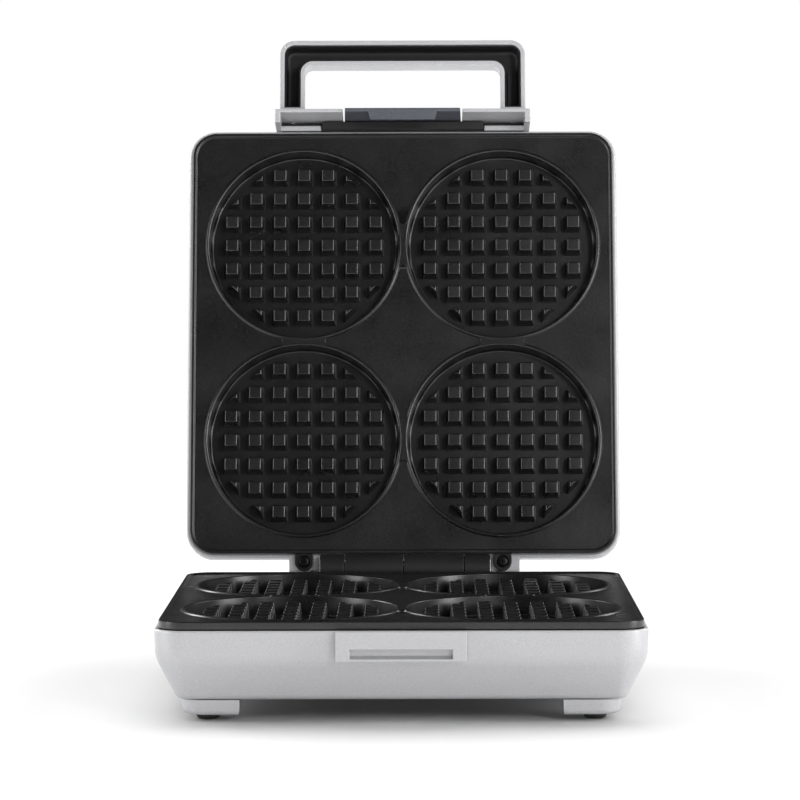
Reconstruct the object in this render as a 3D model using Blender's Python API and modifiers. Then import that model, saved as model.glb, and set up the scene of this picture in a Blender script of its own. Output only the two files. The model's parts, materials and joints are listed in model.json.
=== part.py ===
"""Four-round waffle maker, standing with its lid open on its stops.

Every piece is modelled in the hinge frame, as if the machine were closed: X runs to the right along the
hinge axis, "reach" is the distance from that axis towards the machine's front, and "depth" is the distance
from the parting plane into the half that the piece belongs to. The lid's frame is then turned open about
the hinge. Lengths here are in millimetres, and MM turns them into Blender's metres.
"""

import math

import bmesh
import bpy
from mathutils import Euler, Matrix, Vector

MM = 0.001

# The whole machine
HINGE_HEIGHT = 52.2  # the parting plane and the hinge axis above the table
OPEN_ANGLE = 103.4  # how far the lid turns from closed to its stops, degrees
GAP = 0.3  # between pieces that rest on each other
CLEARANCE_HOLE, PILOT_HOLE = 1.9, 1.7  # radii, for the small screws

# Baking plates
PLATE_WIDTH = 244.0
PLATE_REAR, PLATE_FRONT = 9.3, 256.2
PLATE_CORNER = 14.0
RIM_DEPTH = 0.2  # each rim stays this far from the parting plane
SLAB_DEPTH = 4.3
LIP_DEPTH = 6.0
BEAD_WIDTH = 2.2
LAND_DROP = 1.0
WELL_OFFSET = 57.3  # from the plate's middle to each well's middle
WELL_RIM, WELL_MOUTH, WELL_FLOOR = 56.7, 55.0, 52.5  # radii
WELL_DEPTH = 11.2
WELL_SIDES = 36  # facets round each well
WELL_SLOPE = (WELL_MOUTH - WELL_FLOOR) / (WELL_DEPTH - RIM_DEPTH)
WELL_BACK_RIM, WELL_BACK_FLOOR, WELL_BACK_DEPTH = 59.5, 55.5, 14.5
BRIDGE_LENGTH, BRIDGE_HALF, BRIDGE_DROP = 28.0, 2.4, 0.15
STUD_PITCH, STUD_TOP, STUD_FOOT = 13.87, 7.1, 9.6
STUD_TOP_DEPTH = 2.0
STUD_ROOT = 0.8  # how far a stud reaches into the floor, so the union has an overlap
PART_STUD_LEG = 3.8
FULL_STUDS = {0: 3, 1: 3, 2: 2, 3: 1}  # by row from the middle: the furthest whole column
PART_STUDS = {2: 3, 3: 2}  # by row from the middle: the column of the cut-off stud
EAR_X, EAR_RADIUS = 56.6, 5.35
EAR_NEAR, EAR_FAR = 1.2, 4.0  # depths of the ear's two faces
EAR_SCREW_REACH = 4.85
EAR_SINK_RADIUS, EAR_SINK_DEPTH = 3.6, 2.8
POST_RADIUS = 4.0
PLATE_MIDDLE = (PLATE_REAR + PLATE_FRONT) / 2

# Casings
CASING_HALF = 124.25
CASING_REAR, CASING_FRONT = 7.1, 258.4
CASING_CORNER = 16.0
WALL = 2.5
EDGE_DEPTH, CASING_DEPTH = 4.6, 40.6
CASING_PROFILE = (  # (depth, inset): a drafted side, a round shoulder, a slant and a round bottom edge
    (EDGE_DEPTH, 0.0), (15.0, 0.6), (19.5, 1.5), (24.0, 3.3), (35.7, 8.9), (39.0, 11.3), (CASING_DEPTH, 14.0),
)
LUG_LEFT, LUG_RIGHT = (-65.3, -47.8), (49.9, 66.6)
LUG_FAR = 12.0
BASE_LUG_TAIL, LID_LUG_TAIL = 13.0, 1.5  # how far behind the hinge axis the lugs end
LUG_HOLE_DEPTH = 10.6

# Hinge
KNUCKLE_RADIUS, KNUCKLE_BORE, PIN_RADIUS = 8.5, 3.1, 2.8
BASE_KNUCKLES = ((-47.3, -33.35), (0.25, 34.55))
LID_KNUCKLES = ((-33.05, -0.05), (34.85, 49.4))
NOTCH_RADIUS = 9.0
NECK_REACH, NECK_DEPTH = 2.0, 3.0  # where a knuckle's neck starts
LEAF_REACH = (4.2, 6.6)
LEAF_DEPTH = (9.0, 17.0)
BOSS_REACH, BOSS_RADIUS = (8.6, 15.6), 3.6
BASE_LEAF_SCREWS, LID_LEAF_SCREWS = (-41.0, 18.0), (-18.0, 41.0)
PIN_ENDS = (-46.8, 48.9)

# Handle, hood and latch, all on the lid
HANDLE_HALF, HANDLE_OPENING_HALF = 71.6, 57.0
HANDLE_TIP, HANDLE_OPENING_TIP = 312.4, 297.5
HANDLE_CORNER, HANDLE_OPENING_CORNER = 8.5, 4.5
HANDLE_DEPTH = (1.0, 16.0)
HANDLE_WALL = 2.6
LINER_WALL, LINER_DROP = 1.0, 1.2
CHANNEL_FOOT = 5.0  # from the hood's front to the channel in the handle's legs
HOOD_HALF, HOOD_SIDE, HOOD_WALL, HOOD_ROOF = 73.9, 3.1, 2.1, 2.0
HOOD_BACK, HOOD_FRONT = 258.9, 267.0
HOOD_DEPTH = (-15.0, 22.0)
HOOD_CUT_HALF, HOOD_CUT_TOP = 34.7, 18.3
TAB_START, TAB_REACH, TAB_DEPTH = 47.5, 262.0, 6.6
CARRIER_NEAR, CARRIER_SIDE_NEAR, CARRIER_MIDDLE = 3.0, 7.0, 47.0
CARRIER_BACKSET = 3.0  # behind the hood's front
HANDLE_SCREW_X, HANDLE_SCREW_DEPTH = 64.3, 10.0
LATCH_REACH, LATCH_DEPTH = 262.7, 14.5  # the lever's pivot
LEVER_HALF_TIP, LEVER_HALF_ROOT = 33.4, 34.2
LEVER_TIP, LEVER_ROOT = -16.5, 17.3  # depths of the lever's two ends
LEVER_BARREL, LEVER_BARREL_RADIUS, LEVER_BORE = (7.5, 33.0), 2.4, 1.4
LATCH_PIN_RADIUS, LATCH_PIN_OVERHANG = 1.1, 3.6
SPRING_HALF, SPRING_RADIUS, SPRING_WIRE = 6.0, 1.9, 0.35
TOOTH_HALF, TOOTH_TIP, TOOTH_DEPTH = 20.4, 260.6, (-14.0, -16.1, -16.5)

# Catch on the base
CATCH_HALF, CATCH_FRONT = 32.7, 264.0
CATCH_DEPTH = (EDGE_DEPTH, 19.2)
POCKET_HALF, POCKET_BACK = 25.7, 259.5
POCKET_TOP, POCKET_FLOOR, POCKET_LIP = 13.3, 17.0, 18.4
CATCH_EDGE = 0.5
CATCH_SCREW_X, CATCH_SCREW_DEPTH = 22.0, 9.0

# Feet
FOOT_X = (81.4, 111.2)
FOOT_REACHES = {"front": (214.0, 245.0), "rear": (20.5, 51.5)}
FOOT_DEPTH, FOOT_CORNER = 48.8, 11.0
RUBBER_RADIUS, RUBBER_X, RUBBER_STEM = 5.9, 98.0, 5.0

# Heating
ELEMENT_RADIUS, ELEMENT_DEPTH = 3.2, 18.1
ELEMENT_HALF, ELEMENT_CORNER = 72.0, 26.0
ELEMENT_LEG, ELEMENT_BEND, ELEMENT_TAIL = 15.0, 10.0, 32.0
TRAY_HALF, TRAY_REAR, TRAY_FRONT, TRAY_CORNER = 112.0, 14.0, 251.5, 12.0
TRAY_SHEET = 0.8
TRAY_PROFILE = ((18.0, 0.0), (22.5, 0.8), (24.6, 3.0))  # (depth, inset)
TRAY_SCREWS = ((-105.0, PLATE_MIDDLE), (105.0, PLATE_MIDDLE), (0.0, 241.5))

# Controls, cord inlet and lamps
THERMOSTAT_HEIGHT = 9.6
FUSE_X, FUSE_RADIUS, FUSE_HALF = -14.5, 2.1, 5.0
TERMINAL_X, TERMINAL_REACH, TERMINAL_NEAR = (-60.0, -28.0), (24.0, 38.0), 26.2
GLAND_X, GLAND_DEPTH = 90.0, 13.5
LAMP_X, LAMP_REACH, LAMP_RADIUS, LAMP_RIM = 11.0, 232.0, 4.0, 5.6

# Where the origin lies: under the middle of the open machine's bounding box
LEAN = math.radians(OPEN_ANGLE - 90.0)
REAR_REACH = (
    (CASING_FRONT - CASING_PROFILE[-1][1]) * math.sin(LEAN) + CASING_DEPTH * math.cos(LEAN)
)
HINGE_Y = (CATCH_FRONT - REAR_REACH) / 2

FINISHES = {  # colour, roughness, metallic
    "silver_paint": ((0.62, 0.63, 0.65), 0.38, 0.25),
    "non_stick": ((0.018, 0.018, 0.019), 0.42, 0.0),
    "black_plastic": ((0.012, 0.012, 0.013), 0.45, 0.0),
    "latch_plastic": ((0.045, 0.052, 0.065), 0.40, 0.0),
    "rubber": ((0.015, 0.015, 0.015), 0.80, 0.0),
    "steel": ((0.55, 0.55, 0.56), 0.32, 1.0),
    "black_steel": ((0.03, 0.03, 0.03), 0.38, 0.8),
    "element_steel": ((0.22, 0.21, 0.20), 0.45, 1.0),
    "ceramic": ((0.80, 0.78, 0.72), 0.55, 0.0),
    "red_lens": ((0.65, 0.03, 0.02), 0.15, 0.0),
    "green_lens": ((0.05, 0.50, 0.08), 0.15, 0.0),
}


# Collections, frames and materials

def clear_scene():
    for obj in list(bpy.data.objects):
        bpy.data.objects.remove(obj)


def new_collection(name):
    collection = bpy.data.collections.new(name)
    bpy.context.scene.collection.children.link(collection)
    return collection


def new_material(name):
    colour, roughness, metallic = FINISHES[name]
    material = bpy.data.materials.new(name)
    material.use_nodes = True
    shader = material.node_tree.nodes["Principled BSDF"]
    shader.inputs["Base Color"].default_value = (*colour, 1.0)
    shader.inputs["Roughness"].default_value = roughness
    shader.inputs["Metallic"].default_value = metallic
    material.diffuse_color = (*colour, 1.0)
    return material


clear_scene()
PARTS = new_collection("waffle_maker")
CUTTERS = new_collection("cutters")
MATERIALS = {name: new_material(name) for name in FINISHES}


class Frame:
    """An empty that pieces hang on, and which way depth runs in it: -1 down, +1 up."""

    def __init__(self, name, side, location=(0, 0, 0), turn=0.0, parent=None):
        self.side = side
        self.empty = bpy.data.objects.new(name, None)
        self.empty.location = location
        self.empty.rotation_euler = Euler((turn, 0, 0))
        self.origin = Vector((0, 0, 0))
        PARTS.objects.link(self.empty)
        if parent:
            self.empty.parent = parent.empty
            self.origin = Vector(location)

    def at(self, x, reach, depth):
        """A point of the hinge frame, in metres, as this frame's empty sees it."""
        return Vector((x, -reach, self.side * depth)) * MM - self.origin

    def direction(self, x, reach, depth):
        return Vector((x, -reach, self.side * depth)).normalized()


BASE = Frame("base_frame", -1, (0, HINGE_Y * MM, HINGE_HEIGHT * MM))
LID = Frame("lid_axis", 1, (0, HINGE_Y * MM, HINGE_HEIGHT * MM), math.radians(-OPEN_ANGLE))
LATCH = Frame("latch_axis", 1, (0, -LATCH_REACH * MM, LATCH_DEPTH * MM), parent=LID)


# Shapes

def place(name, mesh, frame, material=None):
    """Link a mesh as a part, or as a cutter where it has no material."""
    obj = bpy.data.objects.new(name, mesh)
    obj.parent = frame.empty
    if material:
        mesh.materials.clear()
        mesh.materials.append(MATERIALS[material])
        PARTS.objects.link(obj)
    else:
        obj.hide_render = True
        obj.display_type = "WIRE"
        CUTTERS.objects.link(obj)
    return obj


def finish_mesh(name, bm):
    bmesh.ops.recalc_face_normals(bm, faces=bm.faces)
    mesh = bpy.data.meshes.new(name)
    bm.to_mesh(mesh)
    bm.free()
    return mesh


def box(name, frame, x, reach, depth, material=None):
    corners = [frame.at(a, b, c) for a, b, c in zip(x, reach, depth)]
    size = corners[1] - corners[0]
    middle = (corners[0] + corners[1]) / 2
    bm = bmesh.new()
    scale = Matrix.Diagonal((abs(size.x), abs(size.y), abs(size.z), 1))
    bmesh.ops.create_cube(bm, size=1, matrix=Matrix.Translation(middle) @ scale)
    return place(name, finish_mesh(name, bm), frame, material)


def cone(name, frame, start, end, start_radius, end_radius, material=None, sides=20):
    """A round bar from start to end, both (x, reach, depth)."""
    a, b = frame.at(*start), frame.at(*end)
    turn = (b - a).to_track_quat("Z", "Y").to_matrix().to_4x4()
    bm = bmesh.new()
    bmesh.ops.create_cone(
        bm, cap_ends=True, segments=sides, radius1=start_radius * MM, radius2=end_radius * MM,
        depth=(b - a).length, matrix=Matrix.Translation((a + b) / 2) @ turn,
    )
    mesh = finish_mesh(name, bm)
    mesh.shade_smooth()
    mesh.set_sharp_from_angle(angle=math.radians(40))
    return place(name, mesh, frame, material)


def rod(name, frame, start, end, radius, material=None, sides=20):
    return cone(name, frame, start, end, radius, radius, material, sides)


def turned(name, frame, profile, start, towards, material, steps=16, ring=False):
    """Turn (radius, height) points, listed top to bottom, about the line from start along towards."""
    mesh = bpy.data.meshes.new(name)
    points = [(radius * MM, 0, height * MM) for radius, height in profile]
    edges = [(i, i + 1) for i in range(len(points) - 1)]
    if ring:
        edges.append((len(points) - 1, 0))
    mesh.from_pydata(points, edges, [])
    obj = place(name, mesh, frame, material)
    obj.location = frame.at(*start)
    obj.rotation_mode = "QUATERNION"
    obj.rotation_quaternion = frame.direction(*towards).to_track_quat("Z", "Y")
    screw = obj.modifiers.new("turn", "SCREW")
    screw.steps = screw.render_steps = steps
    screw.use_merge_vertices = True
    screw.merge_threshold = 0.00001
    screw.use_smooth_shade = True
    return obj


def corner_arc(middle_x, middle_y, radius, start, steps):
    """Points of a quarter turn, from the start angle in degrees."""
    for i in range(steps + 1):
        angle = math.radians(start + 90 * i / steps)
        yield middle_x + radius * math.cos(angle), middle_y + radius * math.sin(angle)


def rounded_rectangle(half, rear, front, radius, inset=0.0, steps=4):
    """The outline in x and reach, counter-clockwise from the front right corner."""
    r = max(radius - inset, 0.5)
    x, low, high = half - inset - r, rear + inset + r, front - inset - r
    points = []
    for middle_x, middle_y, start in ((x, high, 0), (-x, high, 90), (-x, low, 180), (x, low, 270)):
        points += corner_arc(middle_x, middle_y, r, start, steps)
    return points


def prism(name, frame, outline, depths, material=None):
    """A flat outline in x and reach, as thick as the two depths are apart."""
    curve = bpy.data.curves.new(name, "CURVE")
    curve.dimensions = "2D"
    curve.fill_mode = "BOTH"
    curve.extrude = abs(depths[1] - depths[0]) / 2 * MM
    spline = curve.splines.new("POLY")
    spline.points.add(len(outline) - 1)
    for point, (x, reach) in zip(spline.points, outline):
        point.co = (x * MM, -reach * MM, 0, 1)
    spline.use_cyclic_u = True
    drawn = bpy.data.objects.new(name, curve)
    bpy.context.scene.collection.objects.link(drawn)
    graph = bpy.context.evaluated_depsgraph_get()
    mesh = bpy.data.meshes.new_from_object(drawn.evaluated_get(graph))
    bpy.data.objects.remove(drawn)
    bm = bmesh.new()
    bm.from_mesh(mesh)
    bmesh.ops.remove_doubles(bm, verts=bm.verts, dist=0.00001)
    bmesh.ops.translate(bm, verts=bm.verts, vec=frame.at(0, 0, sum(depths) / 2))
    return place(name, finish_mesh(name, bm), frame, material)


def side_prism(name, frame, outline, x, material=None):
    """An outline in reach and depth, from x[0] to x[1]: a hull of its corners, so it has to be convex."""
    bm = bmesh.new()
    for end in x:
        for reach, depth in outline:
            bm.verts.new(frame.at(end, reach, depth))
    bmesh.ops.convex_hull(bm, input=bm.verts)
    return place(name, finish_mesh(name, bm), frame, material)


def tray(name, frame, outline, profile, thickness, material):
    """A shell: outline(inset) at each depth of the profile, closed at the deep end."""
    bm = bmesh.new()
    rings = []
    for depth, inset in profile:
        verts = [bm.verts.new(frame.at(x, reach, depth)) for x, reach in outline(inset)]
        rings.append([bm.edges.new((verts[i - 1], verts[i])) for i in range(len(verts))])
    for upper, lower in zip(rings, rings[1:]):
        bmesh.ops.bridge_loops(bm, edges=upper + lower)
    bmesh.ops.contextual_create(bm, geom=rings[-1])
    bmesh.ops.recalc_face_normals(bm, faces=bm.faces)
    if sum(f.normal.z * frame.side for f in bm.faces) < 0:
        bmesh.ops.reverse_faces(bm, faces=bm.faces)
    mesh = bpy.data.meshes.new(name)
    bm.to_mesh(mesh)
    bm.free()
    mesh.shade_smooth()
    mesh.set_sharp_from_angle(angle=math.radians(30))
    obj = place(name, mesh, frame, material)
    shell = obj.modifiers.new("wall", "SOLIDIFY")
    shell.thickness = thickness * MM
    shell.offset = -1
    shell.use_even_offset = True
    return obj


def boolean(obj, operation, *others):
    for other in others:
        modifier = obj.modifiers.new(other.name, "BOOLEAN")
        modifier.operation = operation
        modifier.object = other


def cut(obj, *others):
    boolean(obj, "DIFFERENCE", *others)


def join(obj, *others):
    boolean(obj, "UNION", *others)


def screw(name, frame, start, outwards, head, shank, material="steel"):
    """A pan-head screw: start is under the head, head and shank are (radius, length)."""
    head_radius, head_height = head
    shank_radius, length = shank
    dome = head_height * 0.35
    profile = (
        (0, head_height), (head_radius * 0.75, head_height), (head_radius, head_height - dome),
        (head_radius, 0), (shank_radius, 0), (shank_radius, -length), (0, -length),
    )
    return turned(name, frame, profile, start, outwards, material, steps=8)


# Baking plates

def stud_frustum(bm, frame, top, foot):
    """One stud between its outlines at the top and in the well's floor, as a hull."""
    depths = (STUD_TOP_DEPTH, WELL_DEPTH + STUD_ROOT)
    verts = [bm.verts.new(frame.at(x, r, d)) for o, d in zip((top, foot), depths) for x, r in o]
    bmesh.ops.convex_hull(bm, input=verts)


def square(x, reach, side):
    h = side / 2
    return [(x - h, reach - h), (x + h, reach - h), (x + h, reach + h), (x - h, reach + h)]


def corner_triangle(x, reach, sign_x, sign_y, corner, leg):
    """A right triangle that keeps only the stud's corner nearest the well's middle."""
    near_x, near_y = x - sign_x * corner, reach - sign_y * corner
    return [(near_x, near_y), (near_x + sign_x * leg, near_y), (near_x, near_y + sign_y * leg)]


def studs(name, frame, well_x, well_reach):
    """Every stud of one well."""
    slope = (STUD_FOOT - STUD_TOP) / 2 / (WELL_DEPTH - STUD_TOP_DEPTH)
    spread = slope * (WELL_DEPTH + STUD_ROOT - STUD_TOP_DEPTH)
    foot_side = STUD_TOP + 2 * spread
    foot_leg = PART_STUD_LEG + spread * (2 + math.sqrt(2))
    bm = bmesh.new()
    for row in range(-3, 4):
        reach = well_reach + row * STUD_PITCH
        last = FULL_STUDS[abs(row)]
        for column in range(-last, last + 1):
            x = well_x + column * STUD_PITCH
            stud_frustum(bm, frame, square(x, reach, STUD_TOP), square(x, reach, foot_side))
        for sign in (-1, 1):
            if abs(row) in PART_STUDS:
                x = well_x + sign * PART_STUDS[abs(row)] * STUD_PITCH
                way = (x, reach, sign, math.copysign(1, row))
                top = corner_triangle(*way, STUD_TOP / 2, PART_STUD_LEG)
                stud_frustum(bm, frame, top, corner_triangle(*way, foot_side / 2, foot_leg))
    return place(name, finish_mesh(name, bm), frame)


def wells():
    """Each well's name with its middle in x and reach."""
    for row, step in (("rear", -WELL_OFFSET), ("front", WELL_OFFSET)):
        for column, x in (("left", -WELL_OFFSET), ("right", WELL_OFFSET)):
            yield f"{row}_{column}", x, PLATE_MIDDLE + step


def well_cone(name, frame, x, reach, near, far, gap=0.0):
    """A cutter with a well's own slope, between two depths."""
    radii = [WELL_MOUTH - WELL_SLOPE * (depth - RIM_DEPTH) - gap for depth in (near, far)]
    return cone(name, frame, (x, reach, near), (x, reach, far), *radii, sides=WELL_SIDES)


def well_floor(name, frame, x, reach):
    """A well's floor with its studs: a solid of its own, so that the well around it is a plain hole."""
    ends = (x, reach, WELL_DEPTH), (x, reach, WELL_BACK_DEPTH)
    floor = rod(name, frame, *ends, WELL_MOUTH, "non_stick")
    join(floor, studs(name + "_studs", frame, x, reach))
    boolean(floor, "INTERSECT", well_cone(name + "_edge", frame, x, reach, 0.5, WELL_BACK_DEPTH + 1, GAP))


def plate_outline(inset=0.0):
    return rounded_rectangle(PLATE_WIDTH / 2, PLATE_REAR, PLATE_FRONT, PLATE_CORNER, inset)


def ear_outline(x):
    round_end = [
        (x - EAR_RADIUS * math.cos(a), EAR_SCREW_REACH - EAR_RADIUS * math.sin(a))
        for a in (math.pi * i / 8 for i in range(9))
    ]
    return round_end + [(x + EAR_RADIUS, PLATE_REAR + 1.5), (x - EAR_RADIUS, PLATE_REAR + 1.5)]


def baking_plate(prefix, frame):
    name = prefix + "_plate"
    plate = prism(name, frame, plate_outline(), (RIM_DEPTH, SLAB_DEPTH), "non_stick")
    lip = prism(name + "_lip", frame, plate_outline(2.6), (SLAB_DEPTH - 1, LIP_DEPTH))
    land = prism(name + "_land", frame, plate_outline(BEAD_WIDTH), (-1, RIM_DEPTH + LAND_DROP))
    join(plate, lip)
    cut(plate, land)
    for x in (-EAR_X, EAR_X):
        tag = f"{name}_ear_{x:.0f}"
        join(plate, prism(tag, frame, ear_outline(x), (EAR_NEAR, EAR_FAR)))
        middle = (x, EAR_SCREW_REACH)
        cut(plate, rod(tag + "_hole", frame, (*middle, 0), (*middle, 6), CLEARANCE_HOLE, sides=16))
        sink = (*middle, EAR_SINK_DEPTH)
        cut(plate, rod(tag + "_sink", frame, (*middle, 0), sink, EAR_SINK_RADIUS, sides=16))
    for well, x, reach in wells():
        tag = f"{name}_well_{well}"
        top, inside, bottom = ((x, reach, depth) for depth in (RIM_DEPTH, SLAB_DEPTH - 1, WELL_BACK_DEPTH))
        join(plate, cone(tag + "_back", frame, inside, bottom, WELL_BACK_RIM, WELL_BACK_FLOOR))
        join(plate, rod(tag + "_rim", frame, top, inside, WELL_RIM, sides=WELL_SIDES))
    half, middle = BRIDGE_LENGTH / 2, PLATE_MIDDLE
    top = (RIM_DEPTH + BRIDGE_DROP, 2.5)
    for i, step in enumerate((-WELL_OFFSET, WELL_OFFSET)):
        across = (middle + step - half, middle + step + half)
        along = (middle - BRIDGE_HALF, middle + BRIDGE_HALF)
        join(plate, box(f"{name}_bridge_{i}", frame, (-BRIDGE_HALF, BRIDGE_HALF), across, top))
        join(plate, box(f"{name}_bridge_{i + 2}", frame, (step - half, step + half), along, top))
    for well, x, reach in wells():
        hollow = f"{name}_hollow_{well}"
        cut(plate, well_cone(hollow, frame, x, reach, RIM_DEPTH - 1, WELL_BACK_DEPTH + 1))
        well_floor(f"{prefix}_well_{well}", frame, x, reach)
    post_end = TRAY_PROFILE[-1][0] - TRAY_SHEET - GAP
    for i, (x, reach) in enumerate(TRAY_SCREWS):
        ends = (x, reach, 3), (x, reach, post_end)
        join(plate, rod(f"{name}_post_{i}", frame, *ends, POST_RADIUS, sides=12))
        cut(plate, rod(f"{name}_post_hole_{i}", frame, (x, reach, 8), (x, reach, 30), PILOT_HOLE, sides=12))
    return plate


def plate_fittings(prefix, frame):
    """What is fastened under a plate: its ear screws, element, heat shield and their screws."""
    for tag, x in (("left", -EAR_X), ("right", EAR_X)):
        start = (x, EAR_SCREW_REACH, EAR_SINK_DEPTH - 0.2)
        screw(f"{prefix}_plate_screw_{tag}", frame, start, (0, 0, -1), (3.1, 1.2), (1.5, 7.4), "black_steel")
    heating_element(prefix + "_element", frame)
    shield = tray(
        prefix + "_reflector", frame,
        lambda inset: rounded_rectangle(TRAY_HALF, TRAY_REAR, TRAY_FRONT, TRAY_CORNER, inset, 3),
        TRAY_PROFILE, TRAY_SHEET, "steel",
    )
    for i, (x, reach) in enumerate(TRAY_SCREWS):
        ends = (x, reach, 15), (x, reach, 30)
        cut(shield, rod(f"{prefix}_shield_hole_{i}", frame, *ends, CLEARANCE_HOLE, sides=12))
        start = (x, reach, TRAY_PROFILE[-1][0] + GAP)
        screw(f"{prefix}_reflector_screw_{i + 1}", frame, start, (0, 0, 1), (3.2, 1.6), (1.3, 9.0))


def heating_element(name, frame):
    """A tube bent into a rounded square under the wells, its two ends brought out at the rear."""
    half, r = ELEMENT_HALF, ELEMENT_CORNER
    near, far = PLATE_MIDDLE - half, PLATE_MIDDLE + half
    leg, bend = ELEMENT_LEG, ELEMENT_BEND
    right = [(leg, ELEMENT_TAIL)]
    right += [(leg + bend - bend * math.cos(a), near - bend + bend * math.sin(a)) for a in quarter(4)]
    right += [(half - r + r * math.sin(a), near + r - r * math.cos(a)) for a in quarter(5)]
    right += [(half - r + r * math.cos(a), far - r + r * math.sin(a)) for a in quarter(5)]
    route = right + [(-x, reach) for x, reach in reversed(right)]
    curve = bpy.data.curves.new(name, "CURVE")
    curve.dimensions = "3D"
    curve.bevel_depth = ELEMENT_RADIUS * MM
    curve.bevel_resolution = 2
    curve.use_fill_caps = True
    spline = curve.splines.new("POLY")
    spline.points.add(len(route) - 1)
    for point, (x, reach) in zip(spline.points, route):
        point.co = (*frame.at(x, reach, ELEMENT_DEPTH), 1)
    curve.materials.append(MATERIALS["element_steel"])
    obj = bpy.data.objects.new(name, curve)
    obj.parent = frame.empty
    PARTS.objects.link(obj)
    return obj


def quarter(steps):
    return [math.pi / 2 * i / steps for i in range(steps + 1)]


# Casings and hinge

def casing(name, frame, lug_tail):
    """One painted shell, with the two lugs that the plate's ears are screwed to."""
    shell = tray(
        name, frame,
        lambda inset: rounded_rectangle(CASING_HALF, CASING_REAR, CASING_FRONT, CASING_CORNER, inset),
        CASING_PROFILE, WALL, "silver_paint",
    )
    for tag, x in (("left", LUG_LEFT), ("right", LUG_RIGHT)):
        reach, depth = (-lug_tail, CASING_REAR + 1.7), (EDGE_DEPTH + 0.1, LUG_FAR)
        join(shell, box(f"{name}_lug_{tag}", frame, x, reach, depth))
    ends = (LUG_LEFT[1] + 0.1, LUG_RIGHT[0] - 0.1)
    cut(shell, rod(name + "_notch", frame, (ends[0], 0, 0), (ends[1], 0, 0), NOTCH_RADIUS))
    for x in (-EAR_X, EAR_X):
        start, end = ((x, EAR_SCREW_REACH, depth) for depth in (0, LUG_HOLE_DEPTH))
        cut(shell, rod(f"{name}_lug_hole_{x:.0f}", frame, start, end, CLEARANCE_HOLE, sides=12))
    return shell


def hinge_bracket(name, frame, knuckles):
    """Knuckles on a leaf that is screwed to the casing's rear wall."""
    low, high = knuckles[0][0], knuckles[-1][1]
    bracket = box(name, frame, (low, high), LEAF_REACH, LEAF_DEPTH, "black_plastic")
    for i, (a, b) in enumerate(knuckles):
        reach, depth = (NECK_REACH, LEAF_REACH[1]), (NECK_DEPTH, LEAF_DEPTH[0] + 0.8)
        join(bracket, box(f"{name}_neck_{i}", frame, (a, b), reach, depth))
        join(bracket, rod(f"{name}_knuckle_{i}", frame, (a, 0, 0), (b, 0, 0), KNUCKLE_RADIUS))
    cut(bracket, rod(name + "_bore", frame, (low - 2, 0, 0), (high + 2, 0, 0), KNUCKLE_BORE, sides=16))
    return bracket


def hinge_screws(name, frame, casing_shell, bracket, places):
    """Screws through a bracket's leaf into bosses inside the casing's rear wall."""
    depth = sum(LEAF_DEPTH) / 2
    for i, x in enumerate(places):
        start, end = ((x, reach, depth) for reach in BOSS_REACH)
        join(casing_shell, rod(f"{name}_boss_{i}", frame, start, end, BOSS_RADIUS, sides=12))
        hole = rod(f"{name}_hole_{i}", frame, (x, 3, depth), (x, 14.5, depth), CLEARANCE_HOLE, sides=12)
        cut(casing_shell, hole)
        cut(bracket, hole)
        screw(f"{name}_{i + 1}", frame, (x, LEAF_REACH[0] - GAP, depth), (0, -1, 0), (2.8, 1.6), (1.5, 9.5))


# Base

def base():
    shell = casing("base_casing", BASE, BASE_LUG_TAIL)
    bracket = hinge_bracket("base_hinge_bracket", BASE, BASE_KNUCKLES)
    hinge_screws("base_hinge_screw", BASE, shell, bracket, BASE_LEAF_SCREWS)
    start, end = ((x, 0, 0) for x in PIN_ENDS)
    rod("hinge_pin", BASE, start, end, PIN_RADIUS, "steel", sides=16)
    baking_plate("lower", BASE)
    plate_fittings("lower", BASE)
    catch(shell)
    for row, reaches in FOOT_REACHES.items():
        for column, sign in (("left", -1), ("right", 1)):
            foot(f"{row}_{column}", sign, reaches)
    electrics(shell)


def catch(shell):
    """The block that the latch hooks into: its pocket's floor slopes down towards the mouth."""
    x, reach = (-CATCH_HALF, CATCH_HALF), (CASING_FRONT + GAP, CATCH_FRONT)
    block = box("latch_catch", BASE, x, reach, CATCH_DEPTH, "silver_paint")
    mouth = CATCH_FRONT + 1
    near, far = POCKET_TOP, POCKET_FLOOR
    pocket = ((POCKET_BACK, near), (mouth, near), (mouth, POCKET_LIP), (POCKET_BACK, far))
    cut(block, side_prism("catch_pocket", BASE, pocket, (-POCKET_HALF, POCKET_HALF)))
    bevel = block.modifiers.new("edges", "BEVEL")
    bevel.width = CATCH_EDGE * MM
    bevel.segments = 1
    bevel.limit_method = "ANGLE"
    bevel.angle_limit = math.radians(60)
    depth = CATCH_SCREW_DEPTH
    for tag, x in (("left", -CATCH_SCREW_X), ("right", CATCH_SCREW_X)):
        hole = rod(f"catch_hole_{tag}", BASE, (x, 250, depth), (x, 262.4, depth), PILOT_HOLE, sides=12)
        cut(shell, hole)
        cut(block, hole)
        start = (x, CASING_FRONT - WALL - 2 * GAP, depth)
        screw(f"catch_screw_{tag}", BASE, start, (0, -1, 0), (2.4, 1.5), (1.3, 6.6))


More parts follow.
